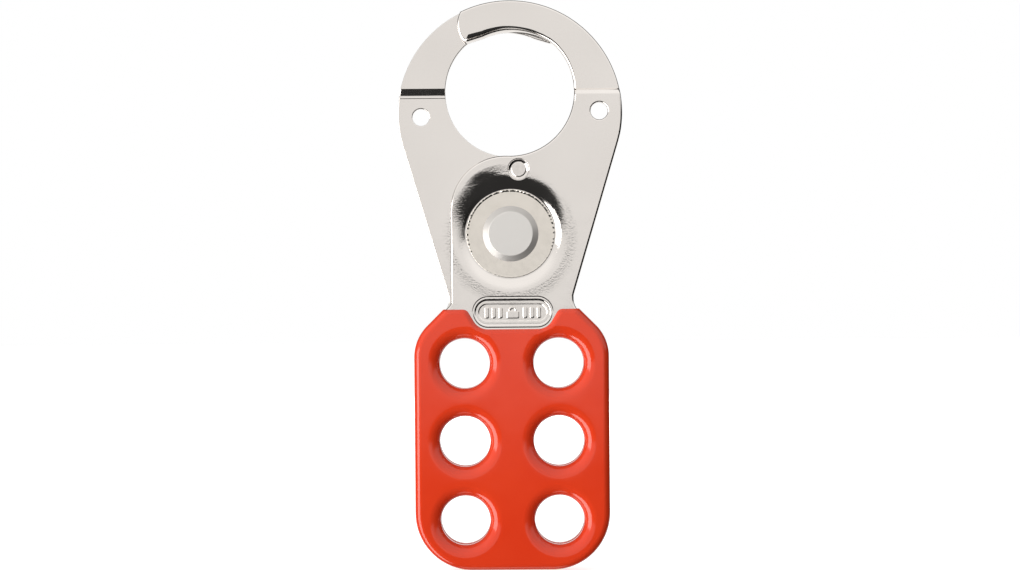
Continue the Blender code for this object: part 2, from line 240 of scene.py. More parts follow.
def plate_outline():
    neck_z = -math.sqrt((OPENING_R + NECK_R) ** 2 - NECK_CENTRE_X**2)
    touching = math.degrees(math.atan2(neck_z, NECK_CENTRE_X))
    neck_start = math.degrees(math.atan2(-neck_z, -NECK_CENTRE_X))
    right_shoulder = shoulder(PLATE_HALF_WIDTH, WAIST, PLATE_SHOULDER_R)
    return chain([
        handle_bottom(PLATE_HALF_WIDTH, PLATE_BOTTOM, PLATE_CORNER_R),
        right_shoulder,
        fillet(WAIST, 135, 90 - TAPER, WAIST_FILLET),
        arc(RING_CENTRE, RING_R, -TAPER, RING_END_ANGLE),
        jaw_tip(),
        arc(JAW_INNER_CENTRE, JAW_INNER_R, *JAW_INNER_ANGLES),
        arc((0, 0), OPENING_R, OPENING_START_ANGLE, touching),
        arc((NECK_CENTRE_X, neck_z), NECK_R, neck_start, 180)[1:],
        fillet((NECK_CENTRE_X - NECK_R, WAIST[1]), 270, 225, NECK_FILLET),
        mirrored(right_shoulder),
    ])


def coating_sides():
    """The coating's outline without its top edge, from the top left round the bottom."""
    through = (COATING_TOP_HALF_WIDTH, COATING_TOP)
    right_shoulder = shoulder(COATING_HALF_WIDTH, through, COATING_SHOULDER_R)
    corner = np.array([[COATING_TOP_HALF_WIDTH, COATING_TOP]])
    bottom = handle_bottom(COATING_HALF_WIDTH, COATING_BOTTOM, COATING_CORNER_R)
    left = np.concatenate([corner * (-1, 1), mirrored(right_shoulder)])
    return chain([left, bottom, right_shoulder, corner], closed=False)


def pocket_outline():
    right_shoulder = shoulder(PLATE_HALF_WIDTH, WAIST, PLATE_SHOULDER_R)
    return chain([
        handle_bottom(PLATE_HALF_WIDTH, PLATE_BOTTOM, PLATE_CORNER_R),
        right_shoulder,
        np.array([WAIST, (-WAIST[0], WAIST[1])]),
        mirrored(right_shoulder),
    ])


def window_line():
    """The coating's top edge on the outer face: level at both sides and dipping round the badge."""
    slope = math.degrees(math.atan2(COATING_TOP - WINDOW_BOTTOM, WINDOW_TOP_HALF - WINDOW_BOTTOM_HALF))
    top = fillet((WINDOW_TOP_HALF, COATING_TOP), slope, 0, WINDOW_TOP_R)
    bottom = fillet((WINDOW_BOTTOM_HALF, WINDOW_BOTTOM), 0, slope, WINDOW_CORNER_R)
    right = np.concatenate([bottom, top, [(COATING_TOP_HALF_WIDTH + 3, COATING_TOP)]])
    return chain([mirrored(right), right], closed=False)[::-1] + (BADGE_CENTRE[0], 0)


def stadium(length, height, grow):
    radius = height / 2 + grow
    x, z = BADGE_CENTRE
    reach = (length - height) / 2
    right = arc((x + reach, z), radius, -90, 90)
    left = arc((x - reach, z), radius, 90, 270)
    return chain([right, left])


def corner_normals(line, closed):
    """The ways out of the material just before and just after each point of a line."""
    along = np.roll(line, -1, 0) - line if closed else np.diff(line, axis=0)
    out = np.column_stack([along[:, 1], -along[:, 0]])
    out /= np.linalg.norm(out, axis=1)[:, None]
    before = np.roll(out, 1, 0) if closed else np.concatenate([out[:1], out])
    after = out if closed else np.concatenate([out, out[-1:]])
    return before, after


def edge_normals(line, closed):
    """The direction out of the material at each point of a line."""
    before, after = corner_normals(line, closed)
    total = before + after
    return total / np.linalg.norm(total, axis=1)[:, None]


def inset(line, distance, closed=True):
    """The line moved into its material, with mitred corners."""
    before, after = corner_normals(line, closed)
    way = (before + after) / (1 + (before * after).sum(1))[:, None]
    return line - way * distance


class Edge:
    """A line that a profile follows: how far a point is from it, and the way out of the material there."""

    def __init__(self, line, closed=True):
        self.line, self.closed = line, closed
        normals = edge_normals(line, closed)
        if closed:
            self.start, self.end = line, np.roll(line, -1, 0)
            self.first, self.second = normals, np.roll(normals, -1, 0)
        else:
            self.start, self.end = line[:-1], line[1:]
            self.first, self.second = normals[:-1], normals[1:]

    def near(self, points):
        along = self.end - self.start
        length2 = (along**2).sum(1)
        distance, out = np.empty(len(points)), np.empty((len(points), 2))
        for i in range(0, len(points), 2000):
            part = points[i : i + 2000]
            offset = part[:, None, :] - self.start[None]
            t = np.clip((offset * along).sum(2) / length2, 0, 1)
            gap = ((offset - t[..., None] * along) ** 2).sum(2)
            k = gap.argmin(1)
            rows = np.arange(len(part))
            t = t[rows, k][:, None]
            distance[i : i + 2000] = np.sqrt(gap[rows, k])
            out[i : i + 2000] = self.first[k] * (1 - t) + self.second[k] * t
        return distance, out / np.linalg.norm(out, axis=1)[:, None]

    def at(self, depth):
        return inset(self.line, depth, self.closed)


class Bore:
    """A round hole's edge, measured exactly."""

    closed = True

    def __init__(self, centre, radius):
        self.centre, self.radius = np.array(centre), radius
        self.line = circle(centre, radius)

    def near(self, points):
        offset = points - self.centre
        far = np.maximum(np.linalg.norm(offset, axis=1), 1e-9)
        return np.maximum(far - self.radius, 0), -offset / far[:, None]

    def at(self, depth):
        return self.centre + (self.line - self.centre) * (self.radius + depth) / self.radius


class Roll:
    """A rounded edge: a quarter ellipse in from the line, and a wide faint slope if it has a tail.

    Where wider gives 1 the ellipse has the extra width and depth of more, and where it gives 0 it
    has neither. The extra depth starts at a share of 0.1 and is all there at about 0.5.
    """

    def __init__(self, edge, width, depth, tail=(0.0, 0.0), beyond=None, wider=None, more=(0.0, 0.0)):
        self.edge, self.width, self.depth, self.tail, self.beyond = edge, width, depth, tail, beyond
        self.wider, self.more = wider, more

    def field(self, points):
        """(depth, its slope, the way out) at each point."""
        distance, out = self.edge.near(points)
        width, fall = self.width, self.depth
        if self.wider:
            share = self.wider(points, out)
            width = width + self.more[0] * share
            fall = fall + self.more[1] * np.clip(2.4 * (share - 0.1), 0, 1)
        c = np.clip(1 - distance / width, 0, 1)
        s = np.sqrt(1 - c**2)
        depth = fall * (1 - s)
        slope = fall / width * c / np.maximum(s, 1e-4)
        if self.tail[0]:
            u = np.clip(1 - distance / self.tail[0], 0, 1)
            depth += self.tail[1] * u**3
            slope += 3 * self.tail[1] / self.tail[0] * u**2
        if self.beyond is not None:
            outside = self.beyond(points)
            depth[outside] = self.depth + self.tail[1]
            slope[outside] = 0
        return depth, slope, out

    def rings(self):
        """Lines that the mesh follows along this edge."""
        turns = (12, 24, 36, 48, 60, 75, 90) if self.width > 0.3 else (22, 45, 67, 90)
        depths = [self.width * (1 - math.cos(math.radians(turn))) for turn in turns]
        if self.beyond is not None:
            depths.append(0.0)
        lines = [self.edge.at(depth) for depth in depths]
        if self.tail[0]:
            lines += [self.edge.at(self.width + (self.tail[0] - self.width) * f) for f in (0.35, 0.7, 1)]
        return lines


def rolled(rolls, points, sharpness=4):
    """(depth, gradient) of several rounded edges together, where the deepest wins smoothly."""
    total, weighted = np.zeros(len(points)), np.zeros((len(points), 2))
    for roll in rolls:
        depth, slope, out = roll.field(points)
        total += depth**sharpness
        weighted += (np.maximum(depth, 1e-9) ** (sharpness - 1) * slope)[:, None] * out
    depth = total ** (1 / sharpness)
    return depth, weighted / np.maximum(depth, 1e-9)[:, None] ** (sharpness - 1)


# Pressed forms.


def ramp(t, soft):
    """0 to 1 as t goes from 0 to 1, with both corners rounded over a width of twice soft."""

    def area(u):
        return np.where(u < 0, 0, np.where(u < 1, u**2 / 2, u - 0.5))

    return (area(t + soft) - area(t - soft)) / (2 * soft)


def dish_rim(angle):
    """The dish's outer radius, wider where the neck's free edge lets the sheet draw in."""
    radius = DISH_RIM_R
    for middle, spread, more in DISH_SWELLS:
        away = np.degrees(np.angle(np.exp(1j * (angle - np.radians(middle)))))
        radius = radius + more * np.exp(-((away / spread) ** 2))
    return radius


def pressed(points, joggle=JOGGLE, soft=0.0):
    """The dish round the pivot, steepest next to its floor, the jaw's step and the drawn-in neck."""
    x, z = points.T
    t = (z - joggle[0]) / (joggle[1] - joggle[0])
    jaw = ramp(t, soft) if soft else np.clip(t, 0, 1) ** JOGGLE_POWER
    jaw = np.where(z > -9, jaw, 0)
    angle, radius = np.arctan2(z - PIVOT_Z, x), np.hypot(x, z - PIVOT_Z)
    rim = dish_rim(angle)
    out = (radius - DISH_FLOOR_R) / (rim - DISH_FLOOR_R)
    out = np.where(np.abs(out) < 0.04, (out + 0.04) ** 2 / 0.16, np.clip(out, 0, 1))
    dish = (1 - out) ** 2
    beside = np.exp(-(((np.degrees(angle) - DRAWN_MIDDLE) / DRAWN_SPREAD) ** 2))
    drawn = DRAWN_SLOPE * np.clip(DRAWN_START_R - radius, 0, DRAWN_WIDTH) * beside
    return STEP * np.maximum(jaw, dish) + drawn


def stadium_distance(points, length, height):
    x, z = (points - BADGE_CENTRE).T
    return np.hypot(np.maximum(np.abs(x) - (length - height) / 2, 0), z) - height / 2


def smooth_step(value, width):
    t = np.clip(value / width + 0.5, 0, 1)
    return t * t * (3 - 2 * t)


def box_distance(x, z, half_x, half_z, radius=0.0):
    dx, dz = np.abs(x) - half_x + radius, np.abs(z) - half_z + radius
    outside = np.hypot(np.maximum(dx, 0), np.maximum(dz, 0))
    return outside + np.minimum(np.maximum(dx, dz), 0) - radius


def emblem_distance(points):
    """A plain padlock between two groups of upright bars, as raised shapes on the badge's floor."""
    x, z = (points - BADGE_CENTRE).T
    body = box_distance(x, z + 0.42, 1.15, 0.68, 0.2)
    bow = np.abs(box_distance(x, z - 0.35, 0.62, 0.62, 0.6)) - 0.17
    bow = np.maximum(bow, -z)
    shapes = np.minimum(body, bow)
    for middle in BADGE_BARS:
        shapes = np.minimum(shapes, box_distance(x - middle, z, 0.36, 1.08, 0.3))
    return shapes


def badge_relief(points):
    """How deep the stamped badge is below the plate's outer face."""
    line = stadium_distance(points, *BADGE_LINE)
    groove = BADGE_LINE_DEPTH * np.exp(-((line / 0.1) ** 2))
    border = stadium_distance(points, *BADGE_BORDER)
    groove += BADGE_BORDER_DEPTH * np.exp(-(((border - 0.05) / 0.1) ** 2))
    field = stadium_distance(points, *BADGE_FIELD)
    depth = BADGE_STEPS[0] * smooth_step(-border, 0.24) + BADGE_STEPS[1] * smooth_step(-field, 0.24)
    raised = EMBLEM_HEIGHT * smooth_step(-emblem_distance(points), 0.16) * smooth_step(-field - 0.12, 0.1)
    return groove + depth - raised


def plate_front(points):
    inside = stadium_distance(points, *BADGE_LINE) < 0.5
    relief = np.zeros(len(points))
    relief[inside] = badge_relief(points[inside])
    return pressed(points) + relief


def plate_back(points):
    crease = 0.025 * np.exp(-(((points[:, 1] - JOGGLE_CREASE_Z) / 0.07) ** 2)) * (points[:, 0] > 5)
    return pressed(points, JOGGLE_BACK, 0.08) + crease


def gradient(height, points):
    step = 2e-3
    x, z = np.array([step, 0]), np.array([0, step])
    return np.column_stack([
        (height(points + x) - height(points - x)) / (2 * step),
        (height(points + z) - height(points - z)) / (2 * step),
    ])


# Meshes.


def covers(loop, points):
    """Which points the loop goes round."""
    end = np.roll(loop, -1, 0)
    inside = np.zeros(len(points), bool)
    for i in range(0, len(points), 4000):
        x, z = points[i : i + 4000, 0][:, None], points[i : i + 4000, 1][:, None]
        crosses = (loop[:, 1] > z) != (end[:, 1] > z)
        with np.errstate(divide="ignore", invalid="ignore"):
            at = loop[:, 0] + (z - loop[:, 1]) * (end[:, 0] - loop[:, 0]) / (end[:, 1] - loop[:, 1])
        inside[i : i + 4000] = (crosses & (x < at)).sum(1) % 2 == 1
    return inside


def fill(outline, holes, guides, loose):
    """(points, triangles) over the outline with its holes open; the triangles follow the guides."""
    points, edges = [], []
    lines = [(loop, True) for loop in (outline, *holes)] + list(guides)
    for line, shut in lines:
        first, count = len(points), len(line)
        points += [Vector(point) for point in line]
        edges += [(first + i, first + i + 1) for i in range(count - 1)]
        if shut:
            edges.append((first + count - 1, first))
    points += [Vector(point) for point in loose]
    made, _, triangles, *_ = geometry.delaunay_2d_cdt(points, edges, [], 0, 1e-5)
    made, triangles = np.array([tuple(point) for point in made]), np.array(triangles)
    a, b, c = (made[triangles[:, i]] for i in range(3))
    turn = (b[:, 0] - a[:, 0]) * (c[:, 1] - a[:, 1]) - (b[:, 1] - a[:, 1]) * (c[:, 0] - a[:, 0])
    triangles[turn < 0] = triangles[turn < 0][:, ::-1]
    middle = (a + b + c) / 3
    kept = covers(outline, middle)
    for hole in holes:
        kept &= ~covers(hole, middle)
    return made, triangles[kept]


def shell(outline, holes, guides, loose, outer, inner):
    """(vertices, normals, faces) between two faces, which are functions that give y and the normal."""
    points, triangles = fill(outline, holes, guides, loose)
    count = len(points)
    vertices, normals = [], []
    for face in (outer, inner):
        y, normal = face(points)
        vertices.append(np.column_stack([points[:, 0], y, points[:, 1]]))
        normals.append(normal)
    sides = np.concatenate([triangles[:, [0, 1]], triangles[:, [1, 2]], triangles[:, [2, 0]]])
    known = set(map(tuple, sides))
    rim = sorted((a, b) for a, b in known if (b, a) not in known)
    faces = [tuple(t) for t in triangles] + [tuple(count + t[::-1]) for t in triangles]
    faces += [(b, a, count + a, count + b) for a, b in rim]
    return np.concatenate(vertices), np.concatenate(normals), faces


def faced(side, level, height, rolls):
    """A face's function: side is -1 for the outer face and 1 for the inner one."""

    def face(points):
        base = height(points)
        slope = gradient(height, points)
        depth, rise = rolled(rolls, points)
        y = base + level - side * depth
        normal = np.column_stack([
            -side * slope[:, 0] + rise[:, 0],
            np.full(len(points), float(side)),
            -side * slope[:, 1] + rise[:, 1],
        ])
        return y, normal / np.linalg.norm(normal, axis=1)[:, None]

    return face


def flat(points):
    return np.zeros(len(points))


def linked(name, data):
    """A new object, in the scene."""
    obj = bpy.data.objects.new(name, data)
    bpy.context.scene.collection.objects.link(obj)
    return obj


def half_turn(rear):
    """What each coordinate is multiplied by: a rear piece is turned half a turn about Z."""
    return np.array([-1, -1, 1]) if rear else np.ones(3)


def mesh_object(name, vertices, normals, faces, rear=False):
    """An object in metres from millimetres."""
    turn = half_turn(rear)
    mesh = bpy.data.meshes.new(name)
    mesh.from_pydata((vertices * turn * MM).tolist(), [], [tuple(map(int, face)) for face in faces])
    mesh.shade_smooth()
    mesh.normals_split_custom_set_from_vertices((normals * turn).tolist())
    return linked(name, mesh)


def drop_loose(vertices, normals, faces):
    """The same mesh without vertices that no face uses."""
    used = np.unique(np.concatenate([np.array(face).ravel() for face in faces]))
    index = np.full(len(vertices), -1)
    index[used] = np.arange(len(used))
    return vertices[used], normals[used], [tuple(index[list(face)]) for face in faces]


def rounded_profile(corners):
    """(point, normal) pairs round a closed profile, where a point is (radius, y).

    Each corner is (radius, y, rounding), clockwise.
    """
    made = []
    count = len(corners)
    for i in range(count):
        before, here, after = (np.array(corners[(i + k) % count][:2], float) for k in (-1, 0, 1))
        rounding = corners[i][2]
        arrive, leave = here - before, after - here
        arrive, leave = arrive / np.linalg.norm(arrive), leave / np.linalg.norm(leave)
        first, second = np.array([-arrive[1], arrive[0]]), np.array([-leave[1], leave[0]])
        if rounding == 0:
            made += [(here, first), (here, second)]
            continue
        start, end = math.atan2(first[1], first[0]), math.atan2(second[1], second[0])
        turn = (end - start + math.pi) % (2 * math.pi) - math.pi
        sign = 1 if turn < 0 else -1
        reach = rounding * abs(math.tan(turn / 2))
        centre = here - arrive * reach - first * rounding * sign
        for t in np.linspace(0, 1, 7):
            angle = start + turn * t
            normal = np.array([math.cos(angle), math.sin(angle)])
            made.append((centre + normal * rounding * sign, normal))
    return made


def turned(corners, centre, sides=192, ragged=None):
    """(vertices, normals, faces) of a body turned about a line along Y.

    ragged gives a push outwards, a lift, and the lift's slope outwards.
    """
    profile = rounded_profile(corners)
    angles = np.linspace(0, 2 * np.pi, sides, endpoint=False)
    vertices, normals = [], []
    for point, normal in profile:
        push, twist, drop, lean = (np.zeros(sides) for _ in range(4))
        if ragged:
            push, drop, lean = ragged(angles, point)
            across = normal[0] * push + normal[1] * drop
            twist = np.gradient(np.concatenate([across[-1:], across, across[:1]]), angles[1])[1:-1]
            twist = -twist / point[0]
        radius = point[0] + push
        vertices.append(np.column_stack([
            centre[0] + radius * np.cos(angles),
            np.full(sides, point[1]) + drop,
            centre[1] + radius * np.sin(angles),
        ]))
        normals.append(np.column_stack([
            (normal[0] + lean) * np.cos(angles) - twist * np.sin(angles),
            np.full(sides, normal[1]),
            (normal[0] + lean) * np.sin(angles) + twist * np.cos(angles),
        ]))
    faces = []
    rows = len(profile)
    for i in range(rows):
        here, there = profile[i][0], profile[(i + 1) % rows][0]
        if np.linalg.norm(here - there) < 1e-7 or max(here[0], there[0]) < 1e-7:
            continue
        a, b = i * sides, ((i + 1) % rows) * sides
        for j in range(sides):
            k = (j + 1) % sides
            faces.append((a + j, a + k, b + k, b + j))
    vertices, normals = np.concatenate(vertices), np.concatenate(normals)
    return vertices, normals / np.linalg.norm(normals, axis=1)[:, None], faces


def solid_of_turn(name, corners, centre, rear=False, **more):
    """The turned body as an object: rows at the axis and doubled rows are welded, and its normals kept."""
    vertices, normals, faces = turned(corners, centre, **more)
    keys = {}
    index = np.empty(len(vertices), int)
    for i, vertex in enumerate(np.round(vertices, 6)):
        index[i] = keys.setdefault(tuple(vertex), i)
    welded, loops = [], []
    for face in faces:
        corners_of = []
        for vertex in face:
            if not corners_of or index[vertex] != index[corners_of[-1]]:
                corners_of.append(vertex)
        if index[corners_of[0]] == index[corners_of[-1]]:
            corners_of.pop()
        if len(corners_of) >= 3:
            welded.append(tuple(index[vertex] for vertex in corners_of))
            loops.append([normals[vertex] for vertex in corners_of])
    used = np.unique(np.concatenate([np.array(face) for face in welded]))
    renumber = np.full(len(vertices), -1)
    renumber[used] = np.arange(len(used))
    turn = half_turn(rear)
    polygons = [tuple(map(int, renumber[list(face)])) for face in welded]
    mesh = bpy.data.meshes.new(name)
    mesh.from_pydata((vertices[used] * turn * MM).tolist(), [], polygons)
    mesh.shade_smooth()
    mesh.normals_split_custom_set([tuple(normal * turn) for face in loops for normal in face])
    return linked(name, mesh)


# Materials.


class Finish:
    """A material's nodes, in the order they are made."""

    def __init__(self, name, roughness, metallic=0.0, **settings):
        self.material = bpy.data.materials.new(name)
        self.material.use_nodes = True
        self.tree = self.material.node_tree
        self.shader = self.tree.nodes["Principled BSDF"]
        self.shader.inputs["Metallic"].default_value = metallic
        self.shader.inputs["Roughness"].default_value = roughness
        for socket, value in settings.items():
            self.shader.inputs[socket.replace("_", " ")].default_value = value
        self.place = self.tree.nodes.new("ShaderNodeTexCoord").outputs["Object"]
        self.bumped = None

    def noise(self, size, detail=2.0, roughness=0.5):
        """Noise whose grains are about size, in millimetres."""
        node = self.tree.nodes.new("ShaderNodeTexNoise")
        node.inputs["Scale"].default_value = 1 / (size * MM)
        node.inputs["Detail"].default_value = detail
        node.inputs["Roughness"].default_value = roughness
        self.tree.links.new(self.place, node.inputs["Vector"])
        return node.outputs["Fac"]

    def spread(self, source, low, high, start=0.3, end=0.7):
        """The source, from start to end, spread over two numbers or two colours."""
        colours = isinstance(low, tuple)
        if colours:
            node = self.tree.nodes.new("ShaderNodeValToRGB")
            node.color_ramp.elements[0].position, node.color_ramp.elements[1].position = start, end
            node.color_ramp.elements[0].color = (*low, 1)
            node.color_ramp.elements[1].color = (*high, 1)
            self.tree.links.new(source, node.inputs["Fac"])
            return node.outputs["Color"]
        node = self.tree.nodes.new("ShaderNodeMapRange")
        names = ("From Min", "From Max", "To Min", "To Max")
        for socket, value in zip(names, (start, end, low, high)):
            node.inputs[socket].default_value = value
        self.tree.links.new(source, node.inputs["Value"])
        return node.outputs["Result"]

    def around(self, start, full, until, gone):
        """1 in a ring round the pivot and 0 elsewhere; the radii are in millimetres."""
        offset = self.tree.nodes.new("ShaderNodeVectorMath")
        offset.operation = "SUBTRACT"
        offset.inputs[1].default_value = (0, 0, PIVOT_Z * MM)
        self.tree.links.new(self.place, offset.inputs[0])
        level = self.tree.nodes.new("ShaderNodeVectorMath")
        level.operation = "MULTIPLY"
        level.inputs[1].default_value = (1, 0, 1)
        self.tree.links.new(offset.outputs[0], level.inputs[0])
        length = self.tree.nodes.new("ShaderNodeVectorMath")
        length.operation = "LENGTH"
        self.tree.links.new(level.outputs[0], length.inputs[0])
        radius = length.outputs["Value"]
        inside = self.spread(radius, 0.0, 1.0, start * MM, full * MM)
        return self.times(inside, self.spread(radius, 1.0, 0.0, until * MM, gone * MM))

    def times(self, first, second):
        node = self.tree.nodes.new("ShaderNodeMath")
        node.operation = "MULTIPLY"
        self.tree.links.new(first, node.inputs[0])
        self.tree.links.new(second, node.inputs[1])
        return node.outputs[0]

    def set(self, socket, source):
        self.tree.links.new(source, self.shader.inputs[socket])

    def bump(self, source, height):
        """Relief on top of what is there; height is in millimetres."""
        node = self.tree.nodes.new("ShaderNodeBump")
        node.inputs["Strength"].default_value = 1.0
        node.inputs["Distance"].default_value = height * MM
        self.tree.links.new(source, node.inputs["Height"])
        if self.bumped:
            self.tree.links.new(self.bumped, node.inputs["Normal"])
        self.bumped = node.outputs["Normal"]
        self.tree.links.new(self.bumped, self.shader.inputs["Normal"])


def nickel():
    """Bright plating over a rolled and stamped sheet: a mirror with a fine grain and faint clouds."""
    finish = Finish("nickel_plating", 0.1, metallic=1.0)
    clouds = finish.noise(14, 3)
    finish.set("Base Color", finish.spread(clouds, (0.80, 0.765, 0.735), (0.84, 0.805, 0.775)))
    finish.set("Roughness", finish.spread(finish.noise(3.5, 4, 0.6), 0.07, 0.13))
    finish.bump(finish.noise(0.32, 3, 0.6), 0.004)
    finish.bump(finish.noise(5.0, 1), 0.004)
    drawn = finish.around(8.9, 9.6, 12.2, 14.0)
    finish.bump(finish.times(finish.noise(0.3, 2, 0.6), drawn), 0.024)
    return finish.material


def washer_plating():
    finish = Finish("washer_plating", 0.12, metallic=1.0)
    clouds = finish.noise(5, 4, 0.6)
    finish.set("Base Color", finish.spread(clouds, (0.77, 0.725, 0.665), (0.81, 0.765, 0.705)))
    finish.set("Roughness", finish.spread(finish.noise(1.2, 3), 0.09, 0.15))
    finish.bump(finish.noise(0.3, 3, 0.6), 0.002)
    return finish.material


def rivet_finish():
    """The pressed head: satin, with soft clouds where the tool met it, and painted shade on its chamfer."""
    finish = Finish("rivet_satin", 0.45, metallic=0.6)
    # painted shade: the chamfer round the head is coloured darker than the top, in place of its shading
    chamfer_shade = finish.around(RIVET_TOP_R - 0.05, RIVET_TOP_R + 0.15, 7.0, 8.0)
    finish.set("Base Color", finish.spread(chamfer_shade, (0.70, 0.68, 0.655), (0.46, 0.442, 0.424), 0, 1))
    finish.set("Roughness", finish.spread(finish.noise(1.4, 3), 0.40, 0.48))
    finish.bump(finish.noise(0.25, 3, 0.6), 0.002)
    finish.bump(finish.noise(1.6, 2), 0.003)
    return finish.material


def pin_finish():
    finish = Finish("pin_plating", 0.1, metallic=1.0)
    clouds = finish.noise(0.9, 3)
    finish.set("Base Color", finish.spread(clouds, (0.72, 0.69, 0.66), (0.80, 0.765, 0.735)))
    finish.bump(finish.noise(0.25, 3, 0.6), 0.002)
    return finish.material


def vinyl():
    """Dip coating: glossy and a little uneven, as it dried on the steel."""
    finish = Finish("red_dip_vinyl", 0.08, Specular_IOR_Level=0.5)
    clouds = finish.noise(9, 2)
    finish.set("Base Color", finish.spread(clouds, (0.545, 0.033, 0.0085), (0.57, 0.039, 0.011)))
    finish.set("Roughness", finish.spread(finish.noise(2.5, 3), 0.03, 0.06))
    finish.bump(finish.noise(3.2, 1), 0.006)
    finish.bump(finish.noise(0.5, 2), 0.0006)
    return finish.material


# Pieces.


def joggle_guides():
    low, high = JOGGLE[0] - 0.2, JOGGLE_BACK[1] + 0.3
    xs = np.arange(9.0, RING_R + 1, 0.5)
    return [(np.column_stack([xs, np.full(len(xs), z)]), False) for z in np.arange(low, high, 0.07)]


def dish_guides():
    angles = np.linspace(0, 2 * np.pi, 180, endpoint=False)
    rim = dish_rim(angles)
    rings = []
    for share in (-0.1, -0.05, 0, 0.04, 0.08, 0.12, *np.linspace(0.18, 1, 16), 1.06):
        radius = DISH_FLOOR_R + (rim - DISH_FLOOR_R) * share
        ring = np.column_stack([radius * np.cos(angles), PIVOT_Z + radius * np.sin(angles)])
        rings.append((ring[::-1], True))
    return rings


def badge_guides():
    lines = [
        (BADGE_LINE, np.linspace(-0.36, 0.36, 13)),
        (BADGE_BORDER, np.linspace(-0.2, 0.24, 10)),
        (BADGE_FIELD, np.linspace(-0.12, 0.18, 7)),
    ]
    loops = [(stadium(*size, grow), True) for size, grows in lines for grow in grows]
    step = 0.07
    xs, zs = np.meshgrid(np.arange(-6.7, 6.7, step), np.arange(-1.7, 1.7, step))
    grid = np.column_stack([xs.ravel(), zs.ravel()]) + BADGE_CENTRE
    return loops, grid[stadium_distance(grid, *BADGE_FIELD) < -0.14]


def nose_points():
    """Extra points for the mesh along the jaw's inside edge and where the neck was drawn in."""
    jaw = np.meshgrid(np.arange(11.8, 16.4, 0.14), np.radians(np.arange(-30, 140, 0.8)))
    neck = np.meshgrid(np.arange(12.0, 14.6, 0.14), np.radians(np.arange(80, 150, 0.8)))
    points = []
    for (radius, angle), middle in ((jaw, 0), (neck, PIVOT_Z)):
        x, z = radius * np.cos(angle), radius * np.sin(angle) + middle
        points.append(np.column_stack([x.ravel(), z.ravel()]))
    points = np.concatenate(points)
    seat = np.hypot(*(points - PIN_CENTRE).T) > PIN_SEAT_R + 0.25
    points = points[seat & (np.hypot(*points.T) > OPENING_R - 1)]
    outline = plate_outline()
    points = points[covers(outline, points)]
    return points[Edge(outline).near(points)[0] > 0.06]


def stand_for(obj, node, body, material):
    obj.data.materials.append(material)
    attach(obj, body)
    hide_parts(node)


def jaw_edge(points, out):
    """1 at the jaw's nose, where the die's round edge is widest, and less along the inside to the right."""
    x, z = points.T
    radius = np.hypot(x, z)
    inwards = -(out * points).sum(1) / np.maximum(radius, 1e-6)
    inside = (1 - smooth_step(radius - 15.3, 2.6)) * smooth_step(inwards - 0.35, 0.8)
    angle = np.degrees(np.arctan2(z, x))
    return inside * (0.1 + 0.9 * smooth_step(angle - 95, 110)) * smooth_step(angle + 10, 40)


def make_plate(side, material):
    outline = Edge(plate_outline())
    rivet_bore, pin_seat = Bore((0, PIVOT_Z), RIVET_BORE_R), Bore(PIN_CENTRE, PIN_SEAT_R)
    side_hole = Bore((SIDE_HOLE_X, SIDE_HOLE_Z[side]), SIDE_HOLE_R)
    shackles = [Bore((x, z), SHACKLE_PLATE_R) for z in SHACKLE_Z for x in (-SHACKLE_X, SHACKLE_X)]
    more = (NOSE_MORE_WIDTH, NOSE_MORE_DEPTH[side])
    outer = [Roll(outline, *PLATE_ROLL, wider=jaw_edge, more=more)]
    outer += [Roll(pin_seat, *PIN_SEAT_ROLL), Roll(side_hole, *SIDE_HOLE_ROLL)]
    inner = [Roll(outline, *PLATE_BACK_ROLL), Roll(pin_seat, *PIN_SEAT_BACK_ROLL)]
    inner += [Roll(side_hole, *SIDE_HOLE_BACK_ROLL)]
    guides = [(ring, True) for roll in outer + inner for ring in roll.rings()]
    loops, grid = badge_guides()
    grid = np.concatenate([grid, nose_points()])
    guides += joggle_guides() + dish_guides() + loops
    bores = [rivet_bore, pin_seat, side_hole, *shackles]
    vertices, normals, faces = shell(
        outline.line,
        [bore.line for bore in bores],
        guides,
        grid,
        faced(-1, -PLATE_OUTER, plate_front, outer),
        faced(1, -PLATE_INNER, plate_back, inner),
    )
    plate = mesh_object(f"{side}_pressed_plate", *drop_loose(vertices, normals, faces), rear=side == "rear")
    stand_for(plate, f"{side}_plate", f"{side}_half", material)


def coating_faces():
    """The coating's outer and inner face functions, and the lines that their edges follow."""
    sides = Edge(coating_sides(), closed=False)
    whole = Edge(chain([coating_sides()]))
    window = Edge(window_line(), closed=False)
    bores = [Bore((x, z), radius) for z, radius in COATING_HOLES for x in (-SHACKLE_X, SHACKLE_X)]
    notch = np.concatenate([window.line[::-1], [(40, 0), (-40, 0)]])

    def bare(points):
        return covers(notch, points)

    outer = [Roll(sides, *COATING_ROLL, tail=COATING_TAIL), Roll(window, *WINDOW_ROLL, beyond=bare)]
    outer += [Roll(bore, *SHACKLE_ROLL, tail=SHACKLE_TAIL) for bore in bores]
    inner = [Roll(whole, *COATING_BACK_ROLL)] + [Roll(bore, *SHACKLE_BACK_ROLL) for bore in bores]
    guides = [(ring, roll.edge.closed) for roll in outer + inner for ring in roll.rings()]
    front = faced(-1, -COATING_OUTER, flat, outer)
    back = faced(1, -HALF_GAP, flat, inner)
    return whole.line, [bore.line for bore in bores], guides, front, back


